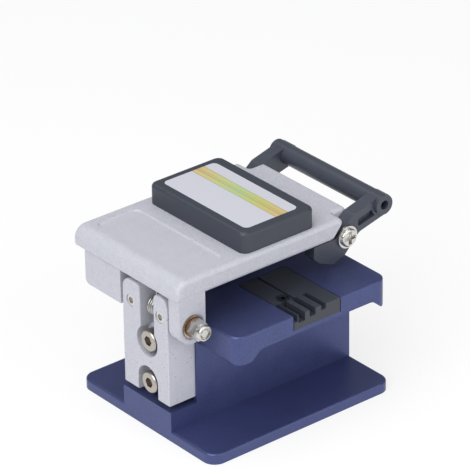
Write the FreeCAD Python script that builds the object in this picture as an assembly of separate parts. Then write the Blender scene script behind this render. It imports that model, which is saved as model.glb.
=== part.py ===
"""Fibre cleaver: a painted base, a hinged lid with a palm pad and bail, and a sliding blade wheel.

Millimetres. +Z up, front at -Y, fibre adapter at -X, origin at the middle of the base plate's underside.
"""

import FreeCAD
import Part

import math
import os

# Base plate
base_width = 65.0
base_length = 71.6
plate_thickness = 3.5
plate_corner = 4.3
plate_edge = 0.7

# Upright web that carries the table
web_width = 23.2
web_front_relief = 0.2
web_offset = -1.07
ledge_top = 10.0
table_width = 62.0
table_top = 39.1
table_middle = 6.3
table_lip = 9.4
table_rear_relief = 0.9
table_front_relief = 0.5
table_corner = 3.8
table_edge = 0.6
rear_lip_length = 6.0
front_lip_length = 2.6
lip_slope_length = 3.4
lip_round = 1.2
lip_hollow = 3.6
lip_end_round = 1.0

# Blade opening in the table
opening_width = 9.4
opening_gap = 0.6
opening_rear = 16.6
opening_length = 48.4
opening_corner = 1.5

# Hinge bracket
bracket_width = 21.7
bracket_depth = 10.2
bracket_foot = 11.9
bracket_head = 8.0
lobe_shoulder = 3.6
lobe_inner_shoulder = 2.2
bracket_edge = 0.4
recess_offset = -0.8
spring_slot_width = 6.6
spring_slot_drop = 6.5
lower_notch_width = 9.6
lower_notch_top = 21.7
upper_bore = 10.0
lower_screw_height = 15.9
upper_screw_height = 30.4
counterbore_depth = 4.3

# Screws
m4_head = 7.0
m4_head_height = 4.0
m4_shank = 4.0
m4_socket = 3.0
m4_socket_depth = 2.2
m3_shank = 3.0
m3_socket = 2.0
m3_head = 5.5
m3_head_height = 1.8
socket_depth = 1.2
bracket_screw_grip = 9.0
screw_chamfer = 0.3
set_screw = 4.0
set_screw_reach = 7.0
set_screw_rise = 0.8
set_screw_recess = 0.3

# Lid hinge
hinge_rise = 1.4
axle_diameter = 3.0
bush_outer = 5.0
bush_flange = 7.4
bush_flange_thickness = 0.7
bush_fit = 0.05
bush_end_gap = 0.6
bush_seat_depth = 0.5
bush_seat = 8.4
washer_outer = 6.2
washer_thickness = 0.6
nut_width = 5.5
nut_height = 3.2
nut_collar = 5.1
nut_collar_height = 1.7
nut_collar_round = 0.4
nut_ring_bore = 3.9
nut_ring_depth = 0.9
axle_end = 0.3
axle_head = 5.5
axle_head_height = 2.2
axle_head_round = 0.5
axial_play = 0.2
torsion_wire = 0.75
torsion_turns = 6
torsion_inner = 5.0
torsion_pitch_gap = 0.12

# Lid
lid_width = 50.8
lid_offset = 7.4
lid_rise = 9.7
lid_thickness = 6.3
lid_overhang = 0.8
lid_ear_front = 64.5
lid_ear_slope = 5.0
lid_ear_brow = 0.6
lid_ear_corner = 1.5
lid_notch_corner = 0.8
lid_tab_front = 70.3
lid_tab_width = 39.6
lid_tab_corner = 1.0
lid_rear_round = 4.2
lid_under_round = 0.5
lid_root = 1.0
lid_side_round = 1.4
lid_wall = 2.2
lid_ceiling = 2.4
lid_solid_rear = 13.0
lid_cavity_corner = 1.5
hinge_side_gap = 0.85
ear_thickness = 5.15
ear_depth = 9.9
ear_round = 4.8
ear_drop = 5.7
rear_block_width = 17.5
rear_block_drop = 2.2
rear_block_depth = 8.9
rear_block_corner = 2.0
panel_width = 43.8
panel_length = 16.6
panel_rear = 4.6
panel_depth = 0.5
panel_slope = 0.45
panel_corner = 3.0

# Palm pad and its plate
pad_width = 46.0
pad_length = 28.3
pad_height = 6.8
pad_rear = 26.3
pad_offset = -0.7
pad_corner = 2.6
pad_edge = 1.3
plate_label_width = 40.2
plate_label_length = 20.8
plate_label_inset = 3.25
plate_label_thickness = 0.4
plate_label_corner = 1.8

# Bail handle, measured from its pivot
pivot_setback = 66.3
pivot_drop = 0.8
arm_thickness = 4.5
arm_gap = 0.2
rod_forward = 14.5
rod_up = 6.3
rod_diameter = 6.5
rod_hole = 3.0
rod_hole_depth = 5.0
rod_proud = 1.2
arm_end_reach = 3.7
arm_end_rise = 4.2
arm_end_round = 3.5
arm_boss = 8.2
arm_pocket_depth = 1.4
pocket_front = 12.5
pocket_rear = 4.8
pocket_low = 1.7
pocket_high = 4.4
pocket_rise = 1.9
pocket_corner = 0.6
hook_back = 13.0
hook_clearance = 0.3
pivot_shoulder = 4.0
pivot_fit = 0.05
pivot_lug = 4.2
pivot_lug_round = 3.0
pivot_lug_thickness = 4.5
pivot_head = 7.4
pivot_pan = 6.0
pivot_collar_height = 0.7
pivot_head_height = 1.7
pivot_head_edge = 0.6
pivot_recess = 4.4
pivot_recess_width = 1.3
pivot_recess_depth = 1.2
pivot_play = 0.1
pivot_thread_length = 3.6
pivot_thread_runout = 0.4

# Fibre adapter and its slot
slot_rear = 33.2
slot_width = 18.8
slot_depth = 4.9
slot_length = 26.5
adapter_side_gap = 0.3
adapter_groove_length = 9.0
adapter_groove_widths = (2.6, 2.3, 1.8)
adapter_groove_pitch = 4.3
adapter_first_groove = 3.0
adapter_groove_depths = (2.8, 2.3, 1.7)
adapter_ledge_drop = 2.2
adapter_ledge_width = 1.4
adapter_screw_back = 11.0
adapter_screw_side = 5.1
adapter_screw_head = 4.4
adapter_screw_shank = 2.5
adapter_screw_socket = 1.5
adapter_screw_grip = 1.2
fibre_groove_width = 0.8

# Fibre clamps
fibre_rise = 0.9
lower_clamp_length = 12.0
lower_clamp_depth = 2.4
lower_rubber_proud = 0.4
lower_rubber_length = 8.0
lower_rubber_thickness = 1.8
left_clamp_width = 9.0
right_clamp_width = 8.0
rubber_margin = 1.2
clamp_closed_gap = 0.05
clamp_travel = 0.8
upper_rubber_thickness = 1.6
clamp_frame_rise = 1.0
clamp_frame_height = 5.2
clamp_frame_length = 14.0
clamp_frame_corner = 1.2
clamp_window_gap = 0.5
clamp_window_bridge = 3.0
clamp_blade_relief = 1.2
clamp_pin = 3.0
clamp_pin_fit = 0.1
clamp_pin_head = 5.0
clamp_head_fit = 0.3
clamp_pin_head_height = 1.2
clamp_pin_drop = 0.5
clamp_pin_headroom = 0.8
clamp_pin_margin = 4.2
clamp_spring_wire = 0.6
clamp_spring_inner = 3.8
clamp_spring_turns = 3.75
clamp_boss_drop = 4.5
clamp_boss_diameter = 6.4
clamp_pin_root = 1.0

# Breaking anvil
anvil_width = 3.6
anvil_pivot_ahead = 15.0
anvil_pivot_drop = 2.8
anvil_arm_half = 1.8
anvil_tail = 2.4
anvil_tail_round = 1.6
anvil_throat = 4.0
anvil_tip = 2.4
anvil_tip_round = 1.0
anvil_nose_round = 0.6
anvil_lug_half = 3.0
anvil_lug_round = 2.0
anvil_nose_half = 1.6
anvil_lug_drop = 2.4
anvil_nose_clearance = 0.6
anvil_pin = 2.0
anvil_pin_fit = 0.05
anvil_lug = 2.6
anvil_lug_root = 0.5
anvil_lug_gap = 0.3

# Blade wheel and carriage
blade_diameter = 19.0
blade_thickness = 1.0
blade_bevel_width = 2.0
blade_edge_width = 0.1
blade_hub = 8.0
blade_hub_thickness = 1.6
blade_bore = 4.0
blade_fit = 0.05
blade_overlap = 0.02
blade_screw_head = 6.0
blade_screw_head_height = 1.2
blade_side_gap = 0.1
blade_stroke = 28.0
carriage_length = 24.0
carriage_bottom = 11.5
carriage_body_top = 28.0
carriage_width = 10.5
carriage_web_gap = 0.5
carriage_edge = 0.8
blade_pocket_gap = 0.6
carriage_post_width = 11.0
carriage_post_thickness = 1.8
carriage_post_rise = 5.6
carriage_post_root = 6.0
carriage_post_round = 4.5
rail_height = 8.0
rail_thickness = 4.2
rail_length = 58.0
rail_centre = 19.0
rail_groove_start = 1.47
rail_groove_width = 1.68
rail_groove_depth = 1.0
rail_fit = 0.1
rail_screw_pitch = 22.0
rail_screw_grip = 5.0
rail_screw_socket_depth = 1.0
knob_width = 8.4
knob_length = 7.0
knob_height = 13.0
knob_rail_gap = 1.0
knob_round = 1.2

# Places that several pieces share
rear_y = base_length / 2
front_y = -base_length / 2
web_left = web_offset - web_width / 2
web_right = web_offset + web_width / 2
web_rear_y = rear_y - bracket_depth
table_rear_y = web_rear_y - table_rear_relief
table_front_y = front_y + table_front_relief
hinge_y = rear_y - bracket_depth / 2
hinge_height = table_top + hinge_rise
bracket_top = hinge_height + bracket_head
spring_slot_floor = hinge_height - spring_slot_drop
lid_bottom = hinge_height + lid_rise
lid_top = lid_bottom + lid_thickness
ear_bottom = hinge_height - ear_drop
rear_block_bottom = hinge_height - rear_block_drop
pivot_height = lid_bottom - pivot_drop
recess_x = web_offset + recess_offset
bracket_left = web_offset - bracket_width / 2
bracket_right = web_offset + bracket_width / 2
lid_left = lid_offset - lid_width / 2
lid_right = lid_offset + lid_width / 2
lid_rear_y = rear_y + lid_overhang
tab_left = lid_offset - lid_tab_width / 2
tab_right = lid_offset + lid_tab_width / 2
ear_inner = bracket_left - hinge_side_gap
ear_outer = ear_inner - ear_thickness
block_inner = bracket_right + hinge_side_gap
block_outer = block_inner + rear_block_width
pivot_y = rear_y - pivot_setback
opening_left = web_right + opening_gap
opening_right = opening_left + opening_width
opening_rear_y = rear_y - opening_rear
opening_front_y = opening_rear_y - opening_length
slot_y = rear_y - slot_rear - slot_width / 2
adapter_rear_y = rear_y - slot_rear - adapter_side_gap
fibre_y = adapter_rear_y - adapter_first_groove - adapter_groove_pitch
fibre_height = table_top + fibre_rise
clamp_frame_bottom = fibre_height + clamp_frame_rise
clamp_frame_top = clamp_frame_bottom + clamp_frame_height
clamp_boss_bottom = lid_top - clamp_boss_drop
anvil_pivot_height = lid_bottom - anvil_pivot_drop
blade_x = (opening_left + opening_right) / 2
blade_radius = blade_diameter / 2
blade_height = fibre_height + blade_overlap - blade_radius
blade_y = fibre_y - blade_stroke / 2
slot_left = -table_width / 2
slot_floor = table_top - slot_depth
left_clamp_centre = opening_left - clamp_window_gap - left_clamp_width / 2
right_clamp_centre = opening_right + clamp_window_gap + right_clamp_width / 2


def vector(x, y, z):
    return FreeCAD.Vector(x, y, z)


def box(x0, x1, y0, y1, z0, z1):
    """A block between two opposite corners."""
    return Part.makeBox(x1 - x0, y1 - y0, z1 - z0, vector(x0, y0, z0))


def rod_x(radius, x0, x1, y, z):
    return Part.makeCylinder(radius, x1 - x0, vector(x0, y, z), vector(1, 0, 0))


def rod_y(radius, x, y0, y1, z):
    return Part.makeCylinder(radius, y1 - y0, vector(x, y0, z), vector(0, 1, 0))


def rod_z(radius, x, y, z0, z1):
    return Part.makeCylinder(radius, z1 - z0, vector(x, y, z0), vector(0, 0, 1))


def place(plane, u, v, level):
    """The point (u, v) on a plane across the axis that the plane is named for."""
    if plane == "x":
        return vector(level, u, v)
    if plane == "y":
        return vector(u, level, v)
    return vector(u, v, level)


def corner_arc(before, corner, after, radius):
    """Start, middle and end of the round that replaces a corner."""
    a = (before - corner).normalize()
    b = (after - corner).normalize()
    half = a.getAngle(b) / 2
    reach = radius / math.tan(half)
    inward = (a + b).normalize()
    middle = corner + inward * (radius / math.sin(half) - radius)
    return corner + a * reach, middle, corner + b * reach


def prism(plane, outline, low, high):
    """A solid whose section is an outline of (u, v, corner radius), between two levels of an axis."""
    points = [place(plane, u, v, low) for u, v, _ in outline]
    count = len(points)
    edges = []
    ends = []
    for i, (_, _, radius) in enumerate(outline):
        corner = points[i]
        if radius > 0:
            start, middle, end = corner_arc(points[i - 1], corner, points[(i + 1) % count], radius)
            edges.append(Part.Arc(start, middle, end).toShape())
            ends.append((start, end))
        else:
            ends.append((corner, corner))
    for i in range(count):
        start = ends[i][1]
        end = ends[(i + 1) % count][0]
        if start.distanceToPoint(end) > 1e-6:
            edges.append(Part.LineSegment(start, end).toShape())
    wire = Part.Wire(Part.__sortEdges__(edges))
    travel = place(plane, 0, 0, high) - place(plane, 0, 0, low)
    return Part.Face(wire).extrude(travel)


def rounded_block(x0, x1, y0, y1, z0, z1, radius):
    """A block with upright corners of one radius."""
    outline = ((x0, y0, radius), (x1, y0, radius), (x1, y1, radius), (x0, y1, radius))
    return prism("z", outline, z0, z1)


def edges_on(shape, axis, level, along=None):
    """Edges that lie at one level of an axis, and where asked run along another one."""
    index = "xyz".index(axis)
    found = []
    for edge in shape.Edges:
        limits = edge.BoundBox
        low = (limits.XMin, limits.YMin, limits.ZMin)
        high = (limits.XMax, limits.YMax, limits.ZMax)
        if abs(low[index] - level) > 1e-3 or abs(high[index] - level) > 1e-3:
            continue
        if along is not None:
            run = "xyz".index(along)
            if high[run] - low[run] < edge.Length - 1e-3:
                continue
        found.append(edge)
    return found


def hexagon(plane, centre_u, centre_v, across_flats, low, high):
    """A hexagonal bar along the axis that the plane is named for."""
    radius = across_flats / math.sqrt(3)
    outline = []
    for i in range(6):
        angle = math.pi / 3 * i
        outline.append((centre_u + radius * math.cos(angle), centre_v + radius * math.sin(angle), 0))
    return prism(plane, outline, low, high)


def coil(wire, inner, turns, pitch, origin, axis):
    """A round-wire spring wound about an axis that starts at the origin."""
    radius = (inner + wire) / 2
    helix = Part.makeHelix(pitch, pitch * turns, radius)
    slope = pitch / (2 * math.pi * radius)
    section = Part.Wire(Part.makeCircle(wire / 2, vector(radius, 0, 0), vector(0, 1, slope)))
    spring = Part.Wire(helix).makePipeShell([section], True, True)
    spring.Placement = FreeCAD.Placement(origin, FreeCAD.Rotation(vector(0, 0, 1), axis))
    return spring


def base_plate():
    plate = rounded_block(
        -base_width / 2, base_width / 2, front_y, rear_y, 0, plate_thickness, plate_corner
    )
    return plate.makeFillet(plate_edge, edges_on(plate, "z", plate_thickness))


def table_profile():
    """Side outline of the table: thin in the middle, with a deeper lip at each end."""
    middle = table_top - table_middle
    lip = table_top - table_lip
    return (
        (table_rear_y, table_top, 0),
        (table_rear_y, lip, lip_end_round),
        (table_rear_y - rear_lip_length, lip, lip_round),
        (table_rear_y - rear_lip_length - lip_slope_length, middle, lip_hollow),
        (table_front_y + front_lip_length + lip_slope_length, middle, lip_hollow),
        (table_front_y + front_lip_length, lip, lip_round),
        (table_front_y, lip, lip_end_round),
        (table_front_y, table_top, 0),
    )


def base_casting():
    """Plate, web, rear ledge and table in one casting, with the seats that are cut into it."""
    half = table_width / 2
    arch = prism("x", table_profile(), -half, half)
    plan = rounded_block(
        -half, half, table_front_y, table_rear_y, table_top - table_lip, table_top, table_corner
    )
    table = arch.common(plan)
    table = table.makeFillet(table_edge, edges_on(table, "z", table_top))
    web_front_y = front_y + web_front_relief
    web = box(web_left, web_right, web_front_y, web_rear_y, 0, table_top - table_middle)
    ledge = box(web_left, web_right, web_rear_y, rear_y, 0, ledge_top)
    back = box(web_left, web_right, table_rear_y, web_rear_y, ledge_top, table_top)
    body = base_plate().fuse([table, web, ledge, back])
    slot = box(
        slot_left - 1, slot_left + slot_length, slot_y - slot_width / 2, slot_y + slot_width / 2,
        slot_floor, table_top + 1,
    )
    opening = rounded_block(
        opening_left, opening_right, opening_front_y, opening_rear_y,
        table_top - table_lip - 1, table_top + 1, opening_corner,
    )
    cuts = [slot, opening]
    for centre, width in clamp_seats():
        cuts.append(
            box(
                centre - width / 2, centre + width / 2,
                fibre_y - lower_clamp_length / 2, fibre_y + lower_clamp_length / 2,
                table_top - lower_clamp_depth, table_top + 1,
            )
        )
    cuts.append(adapter_screw_solid())
    for height in (lower_screw_height, upper_screw_height):
        cuts.append(rod_y(m4_shank / 2, recess_x, web_rear_y - bracket_screw_grip, web_rear_y, height))
    for y in rail_screw_places():
        cuts.append(rod_x(m3_shank / 2, web_right - rail_screw_grip, web_right, y, rail_centre))
    return body.cut(cuts).removeSplitter()


def clamp_seats():
    return ((left_clamp_centre, left_clamp_width), (right_clamp_centre, right_clamp_width))


def hinge_bracket():
    """Upright with two lobes for the axle; the recesses in it share one line a little off its middle."""
    outline = (
        (bracket_left, bracket_foot, 0), (bracket_right, bracket_foot, 0),
        (bracket_right, bracket_top, lobe_shoulder), (bracket_left, bracket_top, lobe_shoulder),
    )
    block = prism("y", outline, web_rear_y, rear_y)
    seat_y = rear_y - counterbore_depth
    slot_half = spring_slot_width / 2
    notch_half = lower_notch_width / 2
    slot = box(
        recess_x - slot_half, recess_x + slot_half, web_rear_y, rear_y, spring_slot_floor, bracket_top + 1
    )
    block = block.cut(slot)
    inner_corners = []
    for x in (recess_x - slot_half, recess_x + slot_half):
        for edge in edges_on(block, "x", x, "y"):
            if abs(edge.BoundBox.ZMin - bracket_top) < 1e-3:
                inner_corners.append(edge)
    block = block.makeFillet(lobe_inner_shoulder, inner_corners)
    block = block.makeFillet(bracket_edge, edges_on(block, "y", rear_y))
    notch_crown = lower_notch_top - notch_half
    notch = box(recess_x - notch_half, recess_x + notch_half, seat_y, rear_y, bracket_foot - 1, notch_crown)
    crown = rod_y(notch_half, recess_x, seat_y, rear_y, notch_crown)
    cuts = [notch, crown]
    cuts.append(rod_y(upper_bore / 2, recess_x, seat_y, rear_y, upper_screw_height))
    for height in (lower_screw_height, upper_screw_height):
        cuts.append(rod_y(m4_shank / 2, recess_x, web_rear_y, rear_y, height))
    cuts.append(rod_x(axle_diameter / 2, bracket_left, bracket_right, hinge_y, hinge_height))
    for x in set_screw_places():
        cuts.append(rod_y(set_screw / 2, x, hinge_y, rear_y, hinge_height + set_screw_rise))
    return block.cut(cuts).removeSplitter()


def cap_screw(x, height):
    """Socket cap screw whose head seats in the bracket and whose shank grips the web."""
    seat = rear_y - counterbore_depth
    top = seat + m4_head_height
    head = rod_y(m4_head / 2, x, seat, top, height)
    head = head.makeChamfer(screw_chamfer, edges_on(head, "y", top))
    shank = rod_y(m4_shank / 2, x, web_rear_y - bracket_screw_grip, seat, height)
    socket = hexagon("y", x, height, m4_socket, top - m4_socket_depth, top)
    return head.fuse(shank).cut(socket)


def bracket_screws():
    heights = (lower_screw_height, upper_screw_height)
    return Part.makeCompound([cap_screw(recess_x, height) for height in heights])


def set_screw_places():
    """One screw in each lobe of the bracket clamps the axle."""
    return (web_offset - set_screw_reach, web_offset + set_screw_reach)


def axle_lock_screws():
    screws = []
    for x in set_screw_places():
        height = hinge_height + set_screw_rise
        tip = hinge_y + axle_diameter / 2
        face = rear_y - set_screw_recess
        screw = rod_y(set_screw / 2, x, tip, face, height)
        socket = hexagon("y", x, height, m3_socket, face - socket_depth, face)
        screws.append(screw.cut(socket))
    return Part.makeCompound(screws)


def washer_face():
    """Outer face of the bush flange in the ear, less the play that lets the lid turn."""
    return ear_outer + bush_seat_depth - bush_flange_thickness - axial_play


def nut_face():
    return washer_face() - washer_thickness


def axle_head_face():
    return block_outer - bush_seat_depth + bush_flange_thickness + axial_play + washer_thickness


def hinge_axle():
    """Shaft with a round socket head at the blade's side; its other end stops short inside the nut."""
    end = nut_face() - nut_height - nut_collar_height + axle_end
    face = axle_head_face()
    top = face + axle_head_height
    shaft = rod_x(axle_diameter / 2, end, face, hinge_y, hinge_height)
    shaft = shaft.makeChamfer(screw_chamfer, edges_on(shaft, "x", end))
    head = rod_x(axle_head / 2, face, top, hinge_y, hinge_height)
    head = head.makeFillet(axle_head_round, edges_on(head, "x", top))
    socket = hexagon("x", hinge_y, hinge_height, m3_socket, top - socket_depth, top)
    return shaft.fuse(head).cut(socket)


def hinge_nut():
    """Hexagon nut with a round collar, counterbored so that a dark ring shows round the axle's end."""
    face = nut_face()
    shoulder = face - nut_height
    end = shoulder - nut_collar_height
    body = hexagon("x", hinge_y, hinge_height, nut_width, shoulder, face)
    collar = rod_x(nut_collar / 2, end, shoulder, hinge_y, hinge_height)
    collar = collar.makeFillet(nut_collar_round, edges_on(collar, "x", end))
    bore = rod_x(axle_diameter / 2, end, face, hinge_y, hinge_height)
    ring = rod_x(nut_ring_bore / 2, end, end + nut_ring_depth, hinge_y, hinge_height)
    return body.fuse(collar).cut([bore, ring])


def axle_washers():
    """One bronze washer under the nut and one under the axle's head."""
    washers = []
    for low in (nut_face(), axle_head_face() - washer_thickness):
        disc = rod_x(washer_outer / 2, low, low + washer_thickness, hinge_y, hinge_height)
        hole = rod_x(axle_diameter / 2, low, low + washer_thickness, hinge_y, hinge_height)
        washers.append(disc.cut(hole))
    return Part.makeCompound(washers)


def torsion_spring():
    """Coil on the axle between the bracket's lobes; one leg lies on the bracket, one reaches the lid."""
    pitch = torsion_wire + torsion_pitch_gap
    length = pitch * torsion_turns
    start = recess_x - length / 2
    turns = coil(
        torsion_wire, torsion_inner, torsion_turns, pitch,
        vector(start, hinge_y, hinge_height), vector(1, 0, 0),
    )
    radius = (torsion_inner + torsion_wire) / 2
    leg_y = hinge_y + radius
    up = rod_z(torsion_wire / 2, start, leg_y, hinge_height, lid_bottom)
    down = rod_z(torsion_wire / 2, start + length, hinge_y - radius, spring_slot_floor, hinge_height)
    return Part.makeCompound([turns.fuse([up, down])])


def bush(face, direction):
    """Flanged bronze bush; the flange is outside the lid's cheek."""
    cheek = ear_thickness if direction < 0 else rear_block_width
    length = min(cheek, ear_thickness) - bush_end_gap
    flange_outer = face + direction * (bush_flange_thickness - bush_seat_depth)
    flange_inner = face - direction * bush_seat_depth
    sleeve_end = flange_inner - direction * length
    flange = rod_x(
        bush_flange / 2, min(flange_outer, flange_inner), max(flange_outer, flange_inner),
        hinge_y, hinge_height,
    )
    sleeve = rod_x(
        bush_outer / 2, min(flange_inner, sleeve_end), max(flange_inner, sleeve_end),
        hinge_y, hinge_height,
    )
    return flange.fuse(sleeve)


def hinge_bushes():
    bore = rod_x(
        axle_diameter / 2 + bush_fit, ear_outer - bush_flange_thickness, block_outer + bush_flange_thickness,
        hinge_y, hinge_height,
    )
    return Part.makeCompound([bush(ear_outer, -1).cut(bore), bush(block_outer, 1).cut(bore)])


def lid_plan(low, high):
    """Top view of the lid: side ears stop short of the middle tab at the front."""
    ear_y = rear_y - lid_ear_front
    tab_y = rear_y - lid_tab_front
    outline = (
        (lid_left, lid_rear_y, 0), (lid_left, ear_y, lid_ear_corner),
        (tab_left, ear_y, lid_notch_corner), (tab_left, tab_y, lid_tab_corner),
        (tab_right, tab_y, lid_tab_corner), (tab_right, ear_y, lid_notch_corner),
        (lid_right, ear_y, lid_ear_corner), (lid_right, lid_rear_y, 0),
    )
    return prism("z", outline, low, high)


def lid_side_profile():
    """Side view of the lid's top plate: the rear edge rolls over in one large round."""
    return (
        (lid_rear_y, lid_bottom, lid_under_round), (lid_rear_y, lid_top, lid_rear_round),
        (front_y - 1, lid_top, 0), (front_y - 1, lid_bottom, 0),
    )


def lid_ear_relief():
    """Wedge that slopes the front of both ears back towards their lower edge."""
    ear_y = rear_y - lid_ear_front
    brow = lid_top - lid_ear_brow
    foot = lid_bottom - 0.1
    return (
        (ear_y - 1, brow, 0), (ear_y, brow, 0),
        (ear_y + lid_ear_slope, foot, 0), (ear_y - 1, foot, 0),
    )


def pivot_lug_solid(x0, x1):
    """Lug below the tab that takes the handle's pivot screw."""
    front = pivot_y - pivot_lug
    rear = pivot_y + pivot_lug
    root = lid_bottom + lid_root
    foot = pivot_height - pivot_lug
    outline = (
        (front, root, 0), (front, foot, pivot_lug_round), (rear, foot, pivot_lug_round), (rear, root, 0),
    )
    return prism("x", outline, x0, x1)


def lid():
    side = prism("x", lid_side_profile(), lid_left - 1, lid_right + 1)
    shell = lid_plan(lid_bottom, lid_top).common(side)
    flat_end = lid_rear_y - lid_rear_round - 1
    rim = [edge for edge in edges_on(shell, "z", lid_top) if edge.BoundBox.YMin < flat_end]
    shell = shell.makeFillet(lid_side_round, rim)
    cavity = rounded_block(
        lid_left + lid_wall, lid_right - lid_wall,
        rear_y - lid_ear_front + lid_wall, rear_y - lid_solid_rear,
        lid_bottom - 1, lid_top - lid_ceiling, lid_cavity_corner,
    )
    tab_cavity = box(
        tab_left + pivot_lug_thickness, tab_right - pivot_lug_thickness,
        rear_y - lid_tab_front + lid_wall, rear_y - lid_ear_front + lid_wall + 1,
        lid_bottom - 1, lid_top - lid_ceiling,
    )
    shell = shell.cut([cavity, tab_cavity])
    shell = shell.cut(prism("x", lid_ear_relief(), lid_left - 1, tab_left))
    shell = shell.cut(prism("x", lid_ear_relief(), tab_right, lid_right + 1))
    root = lid_bottom + lid_root
    ear = prism(
        "x",
        (
            (rear_y, root, 0), (rear_y, ear_bottom, ear_round),
            (rear_y - ear_depth, ear_bottom, ear_round), (rear_y - ear_depth, root, 0),
        ),
        ear_outer, ear_inner,
    )
    block = prism(
        "y",
        (
            (block_inner, rear_block_bottom, 0), (block_outer, rear_block_bottom, rear_block_corner),
            (block_outer, root, 0), (block_inner, root, 0),
        ),
        rear_y - rear_block_depth, rear_y,
    )
    lugs = [
        pivot_lug_solid(tab_left, tab_left + pivot_lug_thickness),
        pivot_lug_solid(tab_right - pivot_lug_thickness, tab_right),
    ]
    pin_bosses = []
    for x in clamp_pin_places():
        pin_bosses.append(
            rod_z(clamp_boss_diameter / 2, x, fibre_y, clamp_boss_bottom, lid_top - lid_ceiling)
        )
    anvil_lugs = [anvil_lug_solid(side) for side in (-1, 1)]
    whole = shell.fuse([ear, block] + lugs + pin_bosses + anvil_lugs)
    panel = rounded_block(
        lid_offset - panel_width / 2, lid_offset + panel_width / 2,
        rear_y - panel_rear - panel_length, rear_y - panel_rear,
        lid_top - panel_depth, lid_top + 1, panel_corner,
    )
    cuts = [panel.makeChamfer(panel_slope, edges_on(panel, "z", lid_top - panel_depth))]
    cuts.append(rod_x(bush_outer / 2, ear_outer, ear_inner, hinge_y, hinge_height))
    cuts.append(rod_x(bush_seat / 2, ear_outer, ear_outer + bush_seat_depth, hinge_y, hinge_height))
    cuts.append(rod_x(bush_outer / 2, block_inner, block_outer, hinge_y, hinge_height))
    cuts.append(rod_x(bush_seat / 2, block_outer - bush_seat_depth, block_outer, hinge_y, hinge_height))
    thread = pivot_thread_length + pivot_thread_runout
    cuts.append(rod_x(m3_shank / 2, tab_left, tab_left + thread, pivot_y, pivot_height))
    cuts.append(rod_x(m3_shank / 2, tab_right - thread, tab_right, pivot_y, pivot_height))
    for x in clamp_pin_places():
        cuts.append(rod_z(clamp_pin / 2, x, fibre_y, clamp_boss_bottom, lid_top - clamp_pin_root))
    cuts.append(anvil_pin_solid())
    return whole.cut(cuts).removeSplitter()


def palm_pad():
    centre = lid_offset + pad_offset
    pad = rounded_block(
        centre - pad_width / 2, centre + pad_width / 2,
        rear_y - pad_rear - pad_length, rear_y - pad_rear,
        lid_top, lid_top + pad_height, pad_corner,
    )
    pad = pad.makeFillet(pad_edge, edges_on(pad, "z", lid_top + pad_height))
    return pad.cut(label_solid())


def label_solid():
    centre = lid_offset + pad_offset
    rear = rear_y - pad_rear - plate_label_inset
    top = lid_top + pad_height
    return rounded_block(
        centre - plate_label_width / 2, centre + plate_label_width / 2,
        rear - plate_label_length, rear,
        top - plate_label_thickness, top, plate_label_corner,
    )


def arm_outline():
    """Side view of one arm: out to the grip rod, round the pivot, and back to the hook."""
    hook_top = lid_bottom - hook_clearance - pivot_height
    shape = (
        (rod_forward + arm_end_reach, rod_up + arm_end_rise, arm_end_round),
        (3.0, 6.4, 2.0),
        (-4.2, hook_top, 2.0),
        (-hook_back, hook_top, 0.5),
        (-hook_back, -3.6, 0.4),
        (-11.0, -5.6, 0.5),
        (-5.2, -7.9, 0.5),
        (-0.6, -6.2, 0.8),
        (5.2, -0.2, 3.0),
        (rod_forward + 3.9, 3.0, arm_end_round),
    )
    return [(pivot_y - forward, pivot_height + up, radius) for forward, up, radius in shape]


def arm_pocket(x0, x1):
    """Recess in the outer face of an arm: it lies against the grip rod's boss and tapers to the pivot."""
    outline = (
        (pivot_y - pocket_front, pivot_height + pocket_low + pocket_rise, pocket_corner),
        (pivot_y - pocket_front, pivot_height + pocket_high + pocket_rise, pocket_corner),
        (pivot_y - pocket_rear, pivot_height + pocket_high, pocket_corner),
        (pivot_y - pocket_rear, pivot_height + pocket_low, pocket_corner),
    )
    rod_boss = rod_x(arm_boss / 2, x0, x1, pivot_y - rod_forward, pivot_height + rod_up)
    return prism("x", outline, x0, x1).cut(rod_boss)


def arm_spans():
    left = tab_left - arm_gap
    right = tab_right + arm_gap
    return ((left - arm_thickness, left), (right, right + arm_thickness))


def handle():
    rod_y_place = pivot_y - rod_forward
    rod_z_place = pivot_height + rod_up
    spans = arm_spans()
    low = spans[0][0] - rod_proud
    high = spans[1][1] + rod_proud
    rod = rod_x(rod_diameter / 2, low, high, rod_y_place, rod_z_place)
    arms = [prism("x", arm_outline(), x0, x1) for x0, x1 in spans]
    whole = rod.fuse(arms)
    cuts = []
    for x0, x1 in ((low, low + rod_hole_depth), (high - rod_hole_depth, high)):
        cuts.append(rod_x(rod_hole / 2, x0, x1, rod_y_place, rod_z_place))
    cuts.append(rod_x(pivot_shoulder / 2 + pivot_fit, low, high, pivot_y, pivot_height))
    cuts.append(arm_pocket(spans[0][0], spans[0][0] + arm_pocket_depth))
    cuts.append(arm_pocket(spans[1][1] - arm_pocket_depth, spans[1][1]))
    return whole.cut(cuts).removeSplitter()


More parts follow.
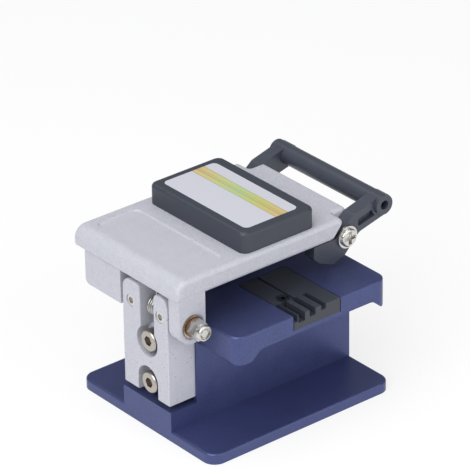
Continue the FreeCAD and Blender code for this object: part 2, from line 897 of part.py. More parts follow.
def pivot_screw(x, outward):
    """Shoulder screw with a collared pan head; outward is -1 at the adapter side and +1 at the other."""
    shoulder_end = x + outward * (arm_gap + arm_thickness + pivot_play)
    collar_end = shoulder_end + outward * pivot_collar_height
    head_end = shoulder_end + outward * pivot_head_height
    thread_end = x - outward * pivot_thread_length

    def turned(diameter, x0, x1):
        return rod_x(diameter / 2, min(x0, x1), max(x0, x1), pivot_y, pivot_height)

    pan = turned(pivot_pan, shoulder_end, head_end)
    pan = pan.makeFillet(pivot_head_edge, edges_on(pan, "x", head_end))
    collar = turned(pivot_head, shoulder_end, collar_end)
    screw = pan.fuse([collar, turned(pivot_shoulder, x, shoulder_end), turned(m3_shank, x, thread_end)])
    floor = head_end - outward * pivot_recess_depth
    for width, height in ((pivot_recess, pivot_recess_width), (pivot_recess_width, pivot_recess)):
        slot = box(
            min(floor, head_end), max(floor, head_end),
            pivot_y - width / 2, pivot_y + width / 2,
            pivot_height - height / 2, pivot_height + height / 2,
        )
        screw = screw.cut(slot)
    return screw


def handle_screws():
    return Part.makeCompound([pivot_screw(tab_left, -1), pivot_screw(tab_right, 1)])


def adapter_screw_place():
    return slot_left + adapter_screw_back, rear_y - slot_rear - adapter_screw_side


def adapter_screw_solid():
    x, y = adapter_screw_place()
    shank = rod_z(adapter_screw_shank / 2, x, y, slot_floor - adapter_screw_grip, table_top)
    head = rod_z(adapter_screw_head / 2, x, y, table_top - m3_head_height, table_top)
    return shank.fuse(head)


def adapter_screw():
    x, y = adapter_screw_place()
    screw = adapter_screw_solid()
    return screw.cut(hexagon("z", x, y, adapter_screw_socket, table_top - socket_depth, table_top))


def fibre_adapter():
    front = slot_y - slot_width / 2 + adapter_side_gap
    block = box(
        slot_left, slot_left + slot_length - adapter_side_gap, front, adapter_rear_y, slot_floor, table_top
    )
    cuts = [adapter_screw_solid()]
    cuts.append(
        box(
            slot_left - 1, slot_left + adapter_groove_length, adapter_rear_y - adapter_ledge_width,
            adapter_rear_y + 1, table_top - adapter_ledge_drop, table_top + 1,
        )
    )
    for i, (width, depth) in enumerate(zip(adapter_groove_widths, adapter_groove_depths)):
        y = adapter_rear_y - adapter_first_groove - adapter_groove_pitch * i
        cuts.append(
            box(
                slot_left - 1, slot_left + adapter_groove_length, y - width / 2, y + width / 2,
                table_top - depth, table_top + 1,
            )
        )
    cuts.append(
        box(
            slot_left + adapter_groove_length - 1, slot_left + slot_length,
            fibre_y - fibre_groove_width / 2, fibre_y + fibre_groove_width / 2,
            table_top - fibre_groove_width, table_top + 1,
        )
    )
    return block.cut(cuts)


def lower_clamp(centre, width):
    """Steel block let into the table; its rubber stands in a pocket in the top."""
    half = lower_clamp_length / 2
    top = fibre_height - lower_rubber_proud
    block = box(
        centre - width / 2, centre + width / 2, fibre_y - half, fibre_y + half,
        table_top - lower_clamp_depth, top,
    )
    return block.cut(lower_rubber(centre, width))


def lower_rubber(centre, width):
    half = lower_rubber_length / 2
    return box(
        centre - width / 2 + rubber_margin, centre + width / 2 - rubber_margin,
        fibre_y - half, fibre_y + half, fibre_height - lower_rubber_thickness, fibre_height,
    )


def clamp_frame_span():
    return left_clamp_centre - left_clamp_width / 2, right_clamp_centre + right_clamp_width / 2


def clamp_pin_places():
    low, high = clamp_frame_span()
    return (low + clamp_pin_margin, high - clamp_pin_margin)


def upper_rubber(centre, width):
    half = lower_rubber_length / 2
    low = fibre_height + clamp_closed_gap
    return box(
        centre - width / 2 + rubber_margin, centre + width / 2 - rubber_margin,
        fibre_y - half, fibre_y + half, low, low + upper_rubber_thickness,
    )


def clamp_head_ceiling():
    """Top of the pocket that the head of each pin hangs in."""
    return clamp_frame_bottom + clamp_pin_head_height + clamp_travel + clamp_pin_drop + clamp_pin_headroom


def clamp_frame():
    """Bridge over the blade slot; it carries both upper rubbers and leaves a gap for the anvil."""
    low, high = clamp_frame_span()
    half = clamp_frame_length / 2
    frame = rounded_block(
        low, high, fibre_y - half, fibre_y + half, clamp_frame_bottom, clamp_frame_top, clamp_frame_corner
    )
    anvil_gap = box(
        blade_x - anvil_width / 2 - clamp_window_gap, blade_x + anvil_width / 2 + clamp_window_gap,
        fibre_y - half - 1, fibre_y + half - clamp_window_bridge,
        clamp_frame_bottom - 1, clamp_frame_top + 1,
    )
    blade_gap = box(
        opening_left, opening_right, fibre_y - half - 1, fibre_y + half + 1,
        clamp_frame_bottom - 1, clamp_frame_bottom + clamp_blade_relief,
    )
    cuts = [anvil_gap, blade_gap]
    for centre, width in clamp_seats():
        cuts.append(upper_rubber(centre, width))
    head_ceiling = clamp_head_ceiling()
    for x in clamp_pin_places():
        cuts.append(rod_z(clamp_pin / 2 + clamp_pin_fit, x, fibre_y, clamp_frame_bottom, clamp_frame_top))
        cuts.append(
            rod_z(clamp_pin_head / 2 + clamp_head_fit, x, fibre_y, clamp_frame_bottom, head_ceiling)
        )
    return frame.cut(cuts)


def clamp_pins():
    """Shoulder pins that hang from the lid; the frame slides up on them against its springs."""
    head_ceiling = clamp_head_ceiling()
    head_top = head_ceiling - clamp_pin_drop
    pins = []
    for x in clamp_pin_places():
        pin = rod_z(clamp_pin / 2, x, fibre_y, head_top, lid_top - clamp_pin_root)
        head = rod_z(clamp_pin_head / 2, x, fibre_y, head_top - clamp_pin_head_height, head_top)
        pins.append(pin.fuse(head))
    return Part.makeCompound(pins)


def clamp_springs():
    springs = []
    space = clamp_boss_bottom - clamp_frame_top
    pitch = (space - clamp_spring_wire) / clamp_spring_turns
    for x in clamp_pin_places():
        springs.append(
            coil(
                clamp_spring_wire, clamp_spring_inner, clamp_spring_turns, pitch,
                vector(x, fibre_y, clamp_frame_top + clamp_spring_wire / 2), vector(0, 0, 1),
            )
        )
    return Part.makeCompound(springs)


def anvil_pivot_y():
    return fibre_y - anvil_pivot_ahead


def anvil_lug_solid(side):
    inner = blade_x + side * (anvil_width / 2 + anvil_lug_gap)
    outer = inner + side * anvil_lug
    rear = anvil_pivot_y() + anvil_lug_half
    front = anvil_pivot_y() - anvil_lug_half
    root = lid_top - lid_ceiling + anvil_lug_root
    foot = anvil_pivot_height - anvil_lug_drop
    outline = (
        (front, root, 0),
        (front, foot, anvil_lug_round),
        (rear, foot, anvil_lug_round),
        (rear, root, 0),
    )
    return prism("x", outline, min(inner, outer), max(inner, outer))


def anvil_pin_solid():
    reach = anvil_width / 2 + anvil_lug_gap + anvil_lug
    return rod_x(anvil_pin / 2, blade_x - reach, blade_x + reach, anvil_pivot_y(), anvil_pivot_height)


def anvil():
    """Arm that presses the scored fibre down; its nose hangs over the blade's path."""
    y = anvil_pivot_y()
    high = anvil_pivot_height + anvil_arm_half
    low = anvil_pivot_height - anvil_arm_half
    nose = fibre_height + anvil_nose_clearance
    outline = (
        (y - anvil_tail, high, anvil_tail_round),
        (y - anvil_tail, low, anvil_tail_round),
        (fibre_y - anvil_throat, low, 0),
        (fibre_y - anvil_nose_half, nose, anvil_nose_round),
        (fibre_y + anvil_nose_half, nose, anvil_nose_round),
        (fibre_y + anvil_tip, low, 0),
        (fibre_y + anvil_tip, high, anvil_tip_round),
    )
    half = anvil_width / 2
    arm = prism("x", outline, blade_x - half, blade_x + half)
    bore = rod_x(anvil_pin / 2 + anvil_pin_fit, blade_x - half, blade_x + half, y, anvil_pivot_height)
    return arm.cut(bore)


def rail_screw_places():
    middle = (web_rear_y + front_y) / 2
    return (middle - rail_screw_pitch, middle, middle + rail_screw_pitch)


def slide_rail():
    """Flat rail on the web with a shallow V groove along both edges."""
    middle = (web_rear_y + front_y) / 2
    rear = middle + rail_length / 2
    front = middle - rail_length / 2
    half = rail_height / 2
    rail = box(web_right, web_right + rail_thickness, front, rear, rail_centre - half, rail_centre + half)
    start = web_right + rail_groove_start
    end = start + rail_groove_width
    cuts = []
    for side in (-1, 1):
        edge = rail_centre + side * half
        groove = ((start, edge, 0), ((start + end) / 2, edge - side * rail_groove_depth, 0), (end, edge, 0))
        cuts.append(prism("y", groove, front, rear))
    for y in rail_screw_places():
        cuts.append(rail_screw_solid(y))
    return rail.cut(cuts)


def rail_screw_solid(y):
    outer = web_right + rail_thickness
    shank = rod_x(m3_shank / 2, web_right - rail_screw_grip, outer, y, rail_centre)
    head = rod_x(m3_head / 2, outer - m3_head_height, outer, y, rail_centre)
    return shank.fuse(head)


def rail_screws():
    outer = web_right + rail_thickness
    screws = []
    for y in rail_screw_places():
        socket = hexagon("x", y, rail_centre, m3_socket, outer - rail_screw_socket_depth, outer)
        screws.append(rail_screw_solid(y).cut(socket))
    return Part.makeCompound(screws)


def carriage_post_left():
    return blade_x + blade_thickness / 2 + blade_hub_thickness + blade_side_gap


def blade_carriage():
    """Block that runs on the rail, with an upright post that holds the blade wheel."""
    inner = web_right + carriage_web_gap
    outer = inner + carriage_width
    y0 = blade_y - carriage_length / 2
    y1 = blade_y + carriage_length / 2
    body = box(inner, outer, y0, y1, carriage_bottom, carriage_body_top)
    body = body.makeFillet(carriage_edge, edges_on(body, "x", outer))
    half = rail_height / 2 + rail_fit
    channel = box(
        inner - 1, web_right + rail_thickness + rail_fit, y0 - 1, y1 + 1,
        rail_centre - half, rail_centre + half,
    )
    post_left = carriage_post_left()
    post_half = carriage_post_width / 2
    root = carriage_body_top - carriage_post_root
    crown = blade_height + carriage_post_rise
    post = prism(
        "x",
        (
            (blade_y - post_half, root, 0),
            (blade_y + post_half, root, 0),
            (blade_y + post_half, crown, carriage_post_round),
            (blade_y - post_half, crown, carriage_post_round),
        ),
        post_left, post_left + carriage_post_thickness,
    )
    pocket_left = blade_x - blade_thickness / 2 - blade_hub_thickness - blade_screw_head_height
    pocket = rod_x(
        blade_radius + blade_pocket_gap, pocket_left - blade_pocket_gap, post_left, blade_y, blade_height
    )
    axle = rod_x(blade_bore / 2, post_left, post_left + carriage_post_thickness, blade_y, blade_height)
    return body.cut([channel, pocket]).fuse(post).cut(axle).removeSplitter()


def blade_screw():
    """Axle screw of the blade wheel: its head is on the rail's side and its shank grips the post."""
    hub_left = blade_x - blade_thickness / 2 - blade_hub_thickness
    seat = hub_left - blade_side_gap
    shank = rod_x(blade_bore / 2, seat, carriage_post_left() + carriage_post_thickness, blade_y, blade_height)
    head = rod_x(blade_screw_head / 2, seat - blade_screw_head_height, seat, blade_y, blade_height)
    return shank.fuse(head)


def blade_wheel():
    """Hard metal disc with a bevelled rim and a hub on each side."""
    half = blade_thickness / 2
    edge = blade_edge_width / 2
    bevel_radius = blade_radius - blade_bevel_width
    profile = Part.makePolygon(
        [
            vector(-half, 0, 0), vector(half, 0, 0), vector(half, bevel_radius, 0),
            vector(edge, blade_radius, 0), vector(-edge, blade_radius, 0),
            vector(-half, bevel_radius, 0), vector(-half, 0, 0),
        ]
    )
    disc = Part.Face(profile).revolve(vector(0, 0, 0), vector(1, 0, 0), 360)
    disc.translate(vector(blade_x, blade_y, blade_height))
    reach = half + blade_hub_thickness
    hub = rod_x(blade_hub / 2, blade_x - reach, blade_x + reach, blade_y, blade_height)
    bore = rod_x(blade_bore / 2 + blade_fit, blade_x - reach, blade_x + reach, blade_y, blade_height)
    return disc.fuse(hub).cut(bore)


def push_knob():
    """Plastic push block at the front of the carriage."""
    front = blade_y - carriage_length / 2
    inner = web_right + rail_thickness + knob_rail_gap
    knob = box(
        inner, inner + knob_width, front - knob_length, front,
        rail_centre - knob_height / 2, rail_centre + knob_height / 2,
    )
    return knob.makeFillet(knob_round, edges_on(knob, "y", front - knob_length))


def build():
    """Every piece by its node name."""
    return {
        "base_casting": base_casting(),
        "hinge_bracket": hinge_bracket(),
        "bracket_screws": bracket_screws(),
        "axle_lock_screws": axle_lock_screws(),
        "hinge_axle": hinge_axle(),
        "hinge_nut": hinge_nut(),
        "axle_washers": axle_washers(),
        "torsion_spring": torsion_spring(),
        "fibre_adapter": fibre_adapter(),
        "adapter_screw": adapter_screw(),
        "lower_clamp_left": lower_clamp(left_clamp_centre, left_clamp_width),
        "lower_clamp_right": lower_clamp(right_clamp_centre, right_clamp_width),
        "lower_rubber_left": lower_rubber(left_clamp_centre, left_clamp_width),
        "lower_rubber_right": lower_rubber(right_clamp_centre, right_clamp_width),
        "slide_rail": slide_rail(),
        "rail_screws": rail_screws(),
        "lid": lid(),
        "hinge_bushes": hinge_bushes(),
        "palm_pad": palm_pad(),
        "pad_plate": label_solid(),
        "handle_screws": handle_screws(),
        "clamp_pins": clamp_pins(),
        "clamp_springs": clamp_springs(),
        "anvil_pin": anvil_pin_solid(),
        "handle": handle(),
        "clamp_frame": clamp_frame(),
        "upper_rubber_left": upper_rubber(left_clamp_centre, left_clamp_width),
        "upper_rubber_right": upper_rubber(right_clamp_centre, right_clamp_width),
        "anvil": anvil(),
        "blade_carriage": blade_carriage(),
        "push_knob": push_knob(),
        "blade_screw": blade_screw(),
        "blade_wheel": blade_wheel(),
    }


os.makedirs("parts", exist_ok=True)
for name, shape in build().items():
    shape.exportStep(f"parts/{name}.step")
    print(name, round(shape.Volume, 1), shape.isValid(), len(shape.Solids))
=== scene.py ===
import math

import bmesh
import bpy
from mathutils import Matrix, Vector


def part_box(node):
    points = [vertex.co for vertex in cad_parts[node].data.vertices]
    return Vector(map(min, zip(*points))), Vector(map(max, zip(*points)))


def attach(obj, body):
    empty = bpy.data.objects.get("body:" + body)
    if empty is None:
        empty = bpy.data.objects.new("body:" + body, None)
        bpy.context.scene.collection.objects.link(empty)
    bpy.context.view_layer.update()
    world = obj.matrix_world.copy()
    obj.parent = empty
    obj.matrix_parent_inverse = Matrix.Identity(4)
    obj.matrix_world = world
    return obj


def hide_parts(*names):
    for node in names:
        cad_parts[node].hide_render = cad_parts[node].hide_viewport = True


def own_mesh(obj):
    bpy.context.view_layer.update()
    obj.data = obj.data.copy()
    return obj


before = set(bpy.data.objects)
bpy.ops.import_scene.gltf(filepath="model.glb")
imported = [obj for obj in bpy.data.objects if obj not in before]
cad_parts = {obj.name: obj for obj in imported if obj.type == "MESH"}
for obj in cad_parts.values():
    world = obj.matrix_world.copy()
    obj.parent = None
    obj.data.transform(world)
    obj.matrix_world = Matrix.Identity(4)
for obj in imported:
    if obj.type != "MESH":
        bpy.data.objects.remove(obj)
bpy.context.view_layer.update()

# The base: plate, upright web and overhanging table in one piece of cast aluminium,
# machined on its seats, then sprayed with a blue lacquer that holds fine metal flakes.

MM = 0.001


def linear(code):
    """An sRGB hex colour as the linear numbers that a shader takes."""
    parts = [int(code[i : i + 2], 16) / 255 for i in (1, 3, 5)]
    return [p / 12.92 if p <= 0.04045 else ((p + 0.055) / 1.055) ** 2.4 for p in parts] + [1.0]


def add_node(tree, kind, settings=None, sockets=None, links=None):
    """Adds a node, sets its properties and input values, and links outputs into its inputs."""
    node = tree.nodes.new(kind)
    for name, value in (settings or {}).items():
        setattr(node, name, value)
    for key, value in (sockets or {}).items():
        node.inputs[key].default_value = value
    for key, source in (links or {}).items():
        tree.links.new(source, node.inputs[key])
    return node


def new_material(name):
    """An empty node material, and its tree."""
    material = bpy.data.materials.new(name)
    material.use_nodes = True
    material.node_tree.nodes.clear()
    return material, material.node_tree


def paint_node(material, *nodes):
    """Gives a material to CAD nodes."""
    for node in nodes:
        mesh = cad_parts[node].data
        mesh.materials.clear()
        mesh.materials.append(material)


def sprayed_coat(name, colour, deep, roughness, cloud_mm, grain_mm, grain_depth_mm, flake=0.0, pit_mm=None):
    """Sprayed finish on cast metal: soft clouds and a fine grain, with flakes and casting pits if asked; the
    pits are darkened with painted shade.

    The real grain is finer than 0.1 mm; grain_mm is as coarse as it needs to be to show.
    """
    roughness_spread = 0.06
    grain_clip = (0.35, 0.65)
    pit_slope = (0.08, 0.24)
    pitted_from, pitted_to = 0.50, 0.58
    # The darker grey painted into the pits as the shade inside them.
    pit_painted_shade = "#6c6d76"

    material, tree = new_material(name)
    place = add_node(tree, "ShaderNodeTexCoord").outputs["Object"]
    clouds = add_node(
        tree, "ShaderNodeTexNoise",
        sockets={"Scale": 1 / (cloud_mm * MM), "Detail": 4.0, "Roughness": 0.65},
        links={"Vector": place},
    ).outputs["Fac"]
    grain = add_node(
        tree, "ShaderNodeTexNoise",
        sockets={"Scale": 1 / (grain_mm * MM), "Detail": 2.0, "Roughness": 0.5},
        links={"Vector": place},
    ).outputs["Fac"]
    speckle = add_node(
        tree, "ShaderNodeMapRange",
        sockets={"From Min": grain_clip[0], "From Max": grain_clip[1]}, links={"Value": grain},
    ).outputs["Result"]
    blend = add_node(
        tree, "ShaderNodeMix", {"data_type": "FLOAT"},
        sockets={"Factor": 0.5}, links={"A": speckle, "B": clouds},
    ).outputs["Result"]
    tone = add_node(
        tree, "ShaderNodeMix", {"data_type": "RGBA"},
        sockets={"A": linear(deep), "B": linear(colour)}, links={"Factor": blend},
    ).outputs["Result"]
    height = grain
    if pit_mm:
        cells = add_node(
            tree, "ShaderNodeTexVoronoi", sockets={"Scale": 1 / (pit_mm * MM)}, links={"Vector": place}
        ).outputs["Distance"]
        pit = add_node(
            tree, "ShaderNodeMapRange",
            sockets={"From Min": pit_slope[0], "From Max": pit_slope[1], "To Min": 1.0, "To Max": 0.0},
            links={"Value": cells},
        ).outputs["Result"]
        porous = add_node(
            tree, "ShaderNodeMapRange",
            sockets={"From Min": pitted_from, "From Max": pitted_to}, links={"Value": clouds},
        ).outputs["Result"]
        pitted = add_node(
            tree, "ShaderNodeMath", {"operation": "MULTIPLY"}, links={0: pit, 1: porous}
        ).outputs["Value"]
        # Painted shade: the pits are mixed towards the darker grey.
        tone = add_node(
            tree, "ShaderNodeMix", {"data_type": "RGBA"},
            sockets={"B": linear(pit_painted_shade)}, links={"Factor": pitted, "A": tone},
        ).outputs["Result"]
        height = add_node(
            tree, "ShaderNodeMath", {"operation": "SUBTRACT"}, links={0: grain, 1: pitted}
        ).outputs["Value"]
    bump = add_node(
        tree, "ShaderNodeBump",
        sockets={"Strength": 0.5, "Distance": grain_depth_mm * MM}, links={"Height": height},
    ).outputs["Normal"]
    gloss = add_node(
        tree, "ShaderNodeMapRange",
        sockets={"To Min": roughness - roughness_spread, "To Max": roughness + roughness_spread},
        links={"Value": clouds},
    ).outputs["Result"]
    surface = add_node(
        tree, "ShaderNodeBsdfPrincipled",
        sockets={"Metallic": flake}, links={"Base Color": tone, "Roughness": gloss, "Normal": bump},
    )
    add_node(tree, "ShaderNodeOutputMaterial", links={"Surface": surface.outputs["BSDF"]})
    return material


# The flakes mirror what stands round it: navy towards the dark, a clear violet-blue towards the light.
flake_lacquer = sprayed_coat(
    "slate_blue_flake_lacquer", "#525b8e", "#41486f", roughness=0.37,
    cloud_mm=6.0, grain_mm=0.35, grain_depth_mm=0.03, flake=0.55,
)
paint_node(flake_lacquer, "base_casting")

# The lid: one aluminium casting with a rolled rim, a sunk panel, a hinge ear and a rear
# block, under a silver-grey powder coat.

# Pale and a little bluish, with a fine grain that softens the shine.
silver_coat = sprayed_coat(
    "silver_grey_powder_coat", "#c8c9d1", "#abacb6", roughness=0.36,
    cloud_mm=2.6, grain_mm=0.35, grain_depth_mm=0.06,
)
paint_node(silver_coat, "lid")

# The hinge bracket: a rougher casting with two lobes for the axle, screwed to the web's
# rear and powder coated like the lid.

# The casting's small pits show through the coat in places, dented in the bump and darkened with painted
# shade.
pitted_coat = sprayed_coat(
    "pitted_silver_coat", "#c8c9d2", "#adaeb8", roughness=0.4,
    cloud_mm=4.0, grain_mm=0.35, grain_depth_mm=0.08, pit_mm=1.1,
)
paint_node(pitted_coat, "hinge_bracket")

# The small hardware: axle, nut, pins and screws, turned or cold-headed from steel and
# nickel plated. The bracket's two cap screws are plain oiled steel.


def turned_metal(name, colour, roughness, streak_mm):
    """Turned or ground metal: a clean mirror, with faint streaks that break up the shine."""
    material, tree = new_material(name)
    place = add_node(tree, "ShaderNodeTexCoord").outputs["Object"]
    streaks = add_node(
        tree, "ShaderNodeTexNoise",
        sockets={"Scale": 1 / (streak_mm * MM), "Detail": 2.0}, links={"Vector": place},
    ).outputs["Fac"]
    shine = add_node(
        tree, "ShaderNodeMapRange",
        sockets={"To Min": roughness * 0.7, "To Max": roughness * 1.3}, links={"Value": streaks},
    ).outputs["Result"]
    surface = add_node(
        tree, "ShaderNodeBsdfPrincipled",
        sockets={"Base Color": linear(colour), "Metallic": 1.0}, links={"Roughness": shine},
    )
    add_node(tree, "ShaderNodeOutputMaterial", links={"Surface": surface.outputs["BSDF"]})
    return material


# Warm white and bright.
nickel_plate = turned_metal("nickel_plated_steel", "#d6d4d0", roughness=0.24, streak_mm=0.8)
paint_node(
    nickel_plate, "axle_lock_screws", "hinge_axle", "hinge_nut", "handle_screws", "clamp_pins", "anvil_pin",
    "rail_screws",
)
# Darker and warmer than the plating, with a softer shine.
oiled_steel = turned_metal("oiled_steel", "#bab3ad", roughness=0.32, streak_mm=0.8)
paint_node(oiled_steel, "bracket_screws")

# The springs: drawn and polished wire, wound cold. One sits on the axle between the
# bracket's lobes; two press the clamp frame down on its pins.

# Grey and softly bright along each turn.
spring_wire = turned_metal("polished_spring_wire", "#b9b7b4", roughness=0.3, streak_mm=0.5)
paint_node(spring_wire, "torsion_spring", "clamp_springs")

# The real springs get shorter as the clamp frame rises, their upper ends staying in the lid; here they are a
# copy on a mesh of its own, carried by the lid, and the CAD springs are hidden.
pressed_springs = bpy.data.objects.new("pressed_clamp_springs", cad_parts["clamp_springs"].data.copy())
bpy.context.scene.collection.objects.link(pressed_springs)
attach(pressed_springs, "lid")
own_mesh(pressed_springs)
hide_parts("clamp_springs")

# The hinge's bearings: turned bronze bushes pressed into the lid's ear and rear block,
# and sintered bronze washers on the axle's ends.

# Brown, with the dull shine of pressed powder.
sintered_bronze = turned_metal("sintered_bronze", "#9b7a62", roughness=0.4, streak_mm=0.4)
paint_node(sintered_bronze, "axle_washers")
# Pale where it is freshly turned.
turned_bronze = turned_metal("turned_bronze", "#c9bcae", roughness=0.25, streak_mm=0.5)
paint_node(turned_bronze, "hinge_bushes")

# The palm pad: moulded ABS screwed to the lid from below, with the fine even grain that
# a spark-eroded mould leaves. The slider's push knob is moulded from the same plastic.


def moulded_piece(name, colour, roughness, grain_mm, grain_depth_mm):
    """Moulded plastic or rubber: dull, with a broad soft highlight over the mould's grain."""
    material, tree = new_material(name)
    place = add_node(tree, "ShaderNodeTexCoord").outputs["Object"]
    grain = add_node(
        tree, "ShaderNodeTexNoise",
        sockets={"Scale": 1 / (grain_mm * MM), "Detail": 1.0}, links={"Vector": place},
    ).outputs["Fac"]
    bump = add_node(
        tree, "ShaderNodeBump",
        sockets={"Strength": 0.4, "Distance": grain_depth_mm * MM}, links={"Height": grain},
    ).outputs["Normal"]
    surface = add_node(
        tree, "ShaderNodeBsdfPrincipled",
        sockets={"Base Color": linear(colour), "Roughness": roughness, "IOR": 1.53}, links={"Normal": bump},
    )
    add_node(tree, "ShaderNodeOutputMaterial", links={"Surface": surface.outputs["BSDF"]})
    return material


# Dark and bluish, matt enough to show no mirror.
grey_abs = moulded_piece("dark_grey_abs", "#353a45", roughness=0.48, grain_mm=0.35, grain_depth_mm=0.03)
paint_node(grey_abs, "palm_pad", "push_knob")

# The plate on the pad: thin aluminium, lacquered and printed with one striped band that
# turns from gold at its ends to yellow-green in the middle, set into the pad's top.

plate_low, plate_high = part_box("pad_plate")
bare_metal = "#d5d6e0"
band_colours = ((0.0, "#d9be86"), (0.25, "#cdca78"), (0.5, "#bfcf8c"), (0.75, "#cfce8c"), (1.0, "#dcc286"))
line_colours = ((0.0, "#a5885a"), (0.3, "#9fa764"), (0.5, "#7fb3a6"), (0.7, "#94a468"), (1.0, "#97805a"))
band_start, band_end = 0.20, 0.43
line_places = (band_start, 0.295, 0.335, band_end)
line_width = 0.009
brushing_mm = 0.12
brushing_stretch = 0.02


def printed_plate():
    """Satin aluminium under clear lacquer; the layout is red on the whole band and green on its lines."""
    layout_stops = [(0.0, (0, 0, 0, 1))]
    for start in line_places:
        past_line = 0.0 if start == band_end else 1.0
        layout_stops.append((start, (1, 1, 0, 1)))
        layout_stops.append((start + line_width, (past_line, 0, 0, 1)))

    material, tree = new_material("printed_aluminium_plate")
    place = add_node(tree, "ShaderNodeTexCoord").outputs["Object"]
    axes = add_node(tree, "ShaderNodeSeparateXYZ", links={"Vector": place}).outputs
    across = add_node(
        tree, "ShaderNodeMapRange",
        sockets={"From Min": plate_low.y, "From Max": plate_high.y}, links={"Value": axes["Y"]},
    ).outputs["Result"]
    along = add_node(
        tree, "ShaderNodeMapRange",
        sockets={"From Min": plate_low.x, "From Max": plate_high.x}, links={"Value": axes["X"]},
    ).outputs["Result"]
    band_stops = [(at, linear(code)) for at, code in band_colours]
    line_stops = [(at, linear(code)) for at, code in line_colours]
    ramps = []
    for source, stops, interpolation in (
        (across, layout_stops, "CONSTANT"), (along, band_stops, "LINEAR"), (along, line_stops, "LINEAR"),
    ):
        ramp = add_node(tree, "ShaderNodeValToRGB", links={"Fac": source})
        ramp.color_ramp.interpolation = interpolation
        for _ in stops[2:]:
            ramp.color_ramp.elements.new(1.0)
        for element, (position, colour) in zip(ramp.color_ramp.elements, stops):
            element.position = position
            element.color = colour
        ramps.append(ramp.outputs["Color"])
    layout, band, lines = ramps
    masks = add_node(tree, "ShaderNodeSeparateColor", links={"Color": layout}).outputs
    banded = add_node(
        tree, "ShaderNodeMix", {"data_type": "RGBA"},
        sockets={"A": linear(bare_metal)}, links={"Factor": masks["Red"], "B": band},
    ).outputs["Result"]
    printed = add_node(
        tree, "ShaderNodeMix", {"data_type": "RGBA"},
        links={"Factor": masks["Green"], "A": banded, "B": lines},
    ).outputs["Result"]
    brushed = add_node(
        tree, "ShaderNodeMapping", sockets={"Scale": (brushing_stretch, 1, 1)}, links={"Vector": place}
    ).outputs["Vector"]
    satin = add_node(
        tree, "ShaderNodeTexNoise",
        sockets={"Scale": 1 / (brushing_mm * MM), "Detail": 1.0}, links={"Vector": brushed},
    ).outputs["Fac"]
    gloss = add_node(
        tree, "ShaderNodeMapRange", sockets={"To Min": 0.28, "To Max": 0.42}, links={"Value": satin}
    ).outputs["Result"]
    surface = add_node(
        tree, "ShaderNodeBsdfPrincipled",
        sockets={"Metallic": 0.15, "Coat Weight": 0.4, "Coat Roughness": 0.15},
        links={"Base Color": printed, "Roughness": gloss},
    )
    add_node(tree, "ShaderNodeOutputMaterial", links={"Surface": surface.outputs["BSDF"]})
    return material


paint_node(printed_plate(), "pad_plate")

# The bail: two cast arms on a grip rod, sprayed dark grey. It turns on shoulder screws in
# the lid's tab and its hooks swing under the lid.

# Bluish grey and half glossy, so the rod shows one long highlight.
bail_enamel = sprayed_coat(
    "dark_grey_enamel", "#454a56", "#393d49", roughness=0.36,
    cloud_mm=4.0, grain_mm=0.4, grain_depth_mm=0.03,
)
paint_node(bail_enamel, "handle")

# The fibre adapter: a moulded black block let into the table, with one groove for each
# coating size, held by a small blackened screw. The blade's axle screw is blackened too.

# Near black, with a soft sheen along the grooves.
black_abs = moulded_piece("black_abs", "#31353f", roughness=0.4, grain_mm=0.4, grain_depth_mm=0.02)
paint_node(black_abs, "fibre_adapter")
# Dark grey that still mirrors at the rim.
black_steel = turned_metal("black_oxide_steel", "#5b5c60", roughness=0.3, streak_mm=0.6)
paint_node(black_steel, "adapter_screw", "blade_screw")

# The steel that guides and strikes the fibre: clamp blocks in the table, the anvil under
# the lid and the rail on the web, all ground flat, and a blade wheel of ground carbide.

# Plain grey with a soft satin.
ground_steel = turned_metal("ground_steel", "#b4b5b8", roughness=0.3, streak_mm=1.2)
paint_node(ground_steel, "lower_clamp_left", "lower_clamp_right", "slide_rail", "anvil")
# Darker and close to a mirror.
carbide = turned_metal("ground_carbide", "#9d9da3", roughness=0.16, streak_mm=1.5)
paint_node(carbide, "blade_wheel")

# The clamp frame under the lid and the carriage on the rail: milled aluminium, anodised
# grey.

# Mid grey and even.
grey_anodised = sprayed_coat(
    "grey_anodised_aluminium", "#5d6068", "#55585f", roughness=0.36,
    cloud_mm=3.0, grain_mm=0.2, grain_depth_mm=0.01,
)
paint_node(grey_anodised, "clamp_frame", "blade_carriage")

# The grips: four blocks of hard rubber that hold the fibre, two in the table's clamps and
# two in the clamp frame.

# Black and matt.
hard_rubber = moulded_piece("hard_black_rubber", "#1b1b1c", roughness=0.7, grain_mm=0.3, grain_depth_mm=0.02)
paint_node(hard_rubber, "lower_rubber_left", "lower_rubber_right", "upper_rubber_left", "upper_rubber_right")

# The floor: a wide plain sheet, nearly white where the camera or a mirror sees it, with
# part of the object's soft shadow left in.

floor_half = 4.0
floor_gap = 0.1 * MM
whitening = 0.75

floor_mesh = bpy.data.meshes.new("floor")
floor_shape = bmesh.new()
corners = ((-1, -1), (1, -1), (1, 1), (-1, 1))
floor_corners = [floor_shape.verts.new((x * floor_half, y * floor_half, -floor_gap)) for x, y in corners]
floor_shape.faces.new(floor_corners)
floor_shape.to_mesh(floor_mesh)
floor_shape.free()
floor = bpy.data.objects.new("floor", floor_mesh)
bpy.context.scene.collection.objects.link(floor)
floor_material, floor_tree = new_material("pale_floor")
floor_paint = add_node(
    floor_tree, "ShaderNodeBsdfPrincipled",
    sockets={"Base Color": linear("#fafafb"), "Roughness": 0.9, "Specular IOR Level": 0.1},
)
floor_white = add_node(
    floor_tree, "ShaderNodeEmission", sockets={"Color": linear("#ffffff"), "Strength": 1.0}
)
ray = add_node(floor_tree, "ShaderNodeLightPath").outputs
seen_or_mirrored = add_node(
    floor_tree, "ShaderNodeMath", {"operation": "MAXIMUM"},
    links={0: ray["Is Camera Ray"], 1: ray["Is Glossy Ray"]},
).outputs["Value"]
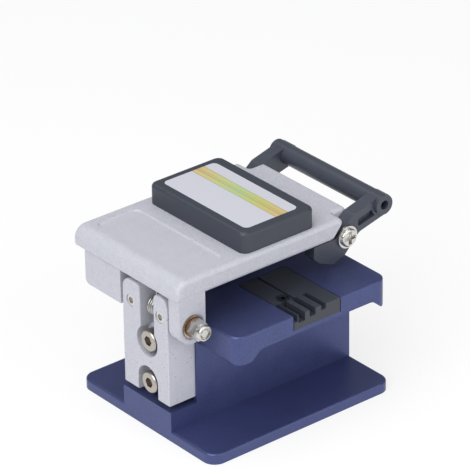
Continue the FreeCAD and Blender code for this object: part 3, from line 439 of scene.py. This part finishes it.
seen_at_all = add_node(
    floor_tree, "ShaderNodeMath", {"operation": "MAXIMUM"},
    links={0: seen_or_mirrored, 1: ray["Is Transmission Ray"]},
).outputs["Value"]
whitened = add_node(
    floor_tree, "ShaderNodeMath", {"operation": "MULTIPLY"}, sockets={1: whitening}, links={0: seen_at_all}
).outputs["Value"]
floor_face = add_node(
    floor_tree, "ShaderNodeMixShader",
    links={0: whitened, 1: floor_paint.outputs["BSDF"], 2: floor_white.outputs["Emission"]},
).outputs["Shader"]
add_node(floor_tree, "ShaderNodeOutputMaterial", links={"Surface": floor_face})
floor_mesh.materials.append(floor_material)

# The light: a dim even studio and three soft boxes. Each lamp's place is given by its
# azimuth, elevation and distance from the object's foot.

world = bpy.data.worlds.new("studio")
bpy.context.scene.world = world
world.use_nodes = True
world.node_tree.nodes.clear()
sky = add_node(
    world.node_tree, "ShaderNodeBackground", sockets={"Color": linear("#f4f5f8"), "Strength": 0.28}
)
add_node(world.node_tree, "ShaderNodeOutputWorld", links={"Surface": sky.outputs["Background"]})


def direction(azimuth, elevation):
    """The unit vector from the object towards a place given in degrees; azimuth 0 is in front, at -Y."""
    a, e = math.radians(azimuth), math.radians(elevation)
    return Vector((math.sin(a) * math.cos(e), -math.cos(a) * math.cos(e), math.sin(e)))


def soft_box(name, azimuth, elevation, distance, size, watts):
    """A square lamp that faces the object."""
    toward = direction(azimuth, elevation)
    data = bpy.data.lights.new(name, "AREA")
    data.shape = "SQUARE"
    data.size = size
    data.energy = watts
    lamp = bpy.data.objects.new(name, data)
    facing = toward.to_track_quat("Z", "Y").to_matrix().to_4x4()
    lamp.matrix_world = Matrix.Translation(toward * distance) @ facing
    bpy.context.scene.collection.objects.link(lamp)


soft_box("key", azimuth=200, elevation=42, distance=0.9, size=0.7, watts=5.4)
soft_box("fill", azimuth=285, elevation=25, distance=1.0, size=0.8, watts=3.6)
soft_box("top", azimuth=120, elevation=78, distance=1.0, size=0.8, watts=4.4)

# The camera: a long lens that looks down on the hinge's corner, leaning a little to one
# side. It is aimed from the middle of the bracket's foot.

camera_lean = -0.82
camera_distance = 1169.0 * MM
aim_right = 27.3 * MM
aim_up = 58.3 * MM

bracket_foot = Vector((0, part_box("hinge_bracket")[1].y, 0))
back = direction(230.91, 28.06)
level = Vector((0, 0, 1)).cross(back).normalized()
upright = back.cross(level)
lean = math.radians(camera_lean)
right = level * math.cos(lean) + upright * math.sin(lean)
up = upright * math.cos(lean) - level * math.sin(lean)
eye = bracket_foot + right * aim_right + up * aim_up + back * camera_distance
camera_data = bpy.data.cameras.new("camera")
camera_data.sensor_width = 36.0
camera_data.lens = 292.8
camera_data.clip_start = 0.05
camera = bpy.data.objects.new("camera", camera_data)
camera.matrix_world = Matrix(
    (
        (right.x, up.x, back.x, eye.x),
        (right.y, up.y, back.y, eye.y),
        (right.z, up.z, back.z, eye.z),
        (0, 0, 0, 1),
    )
)
bpy.context.scene.collection.objects.link(camera)
bpy.context.scene.camera = camera
bpy.context.scene.view_settings.view_transform = "Standard"
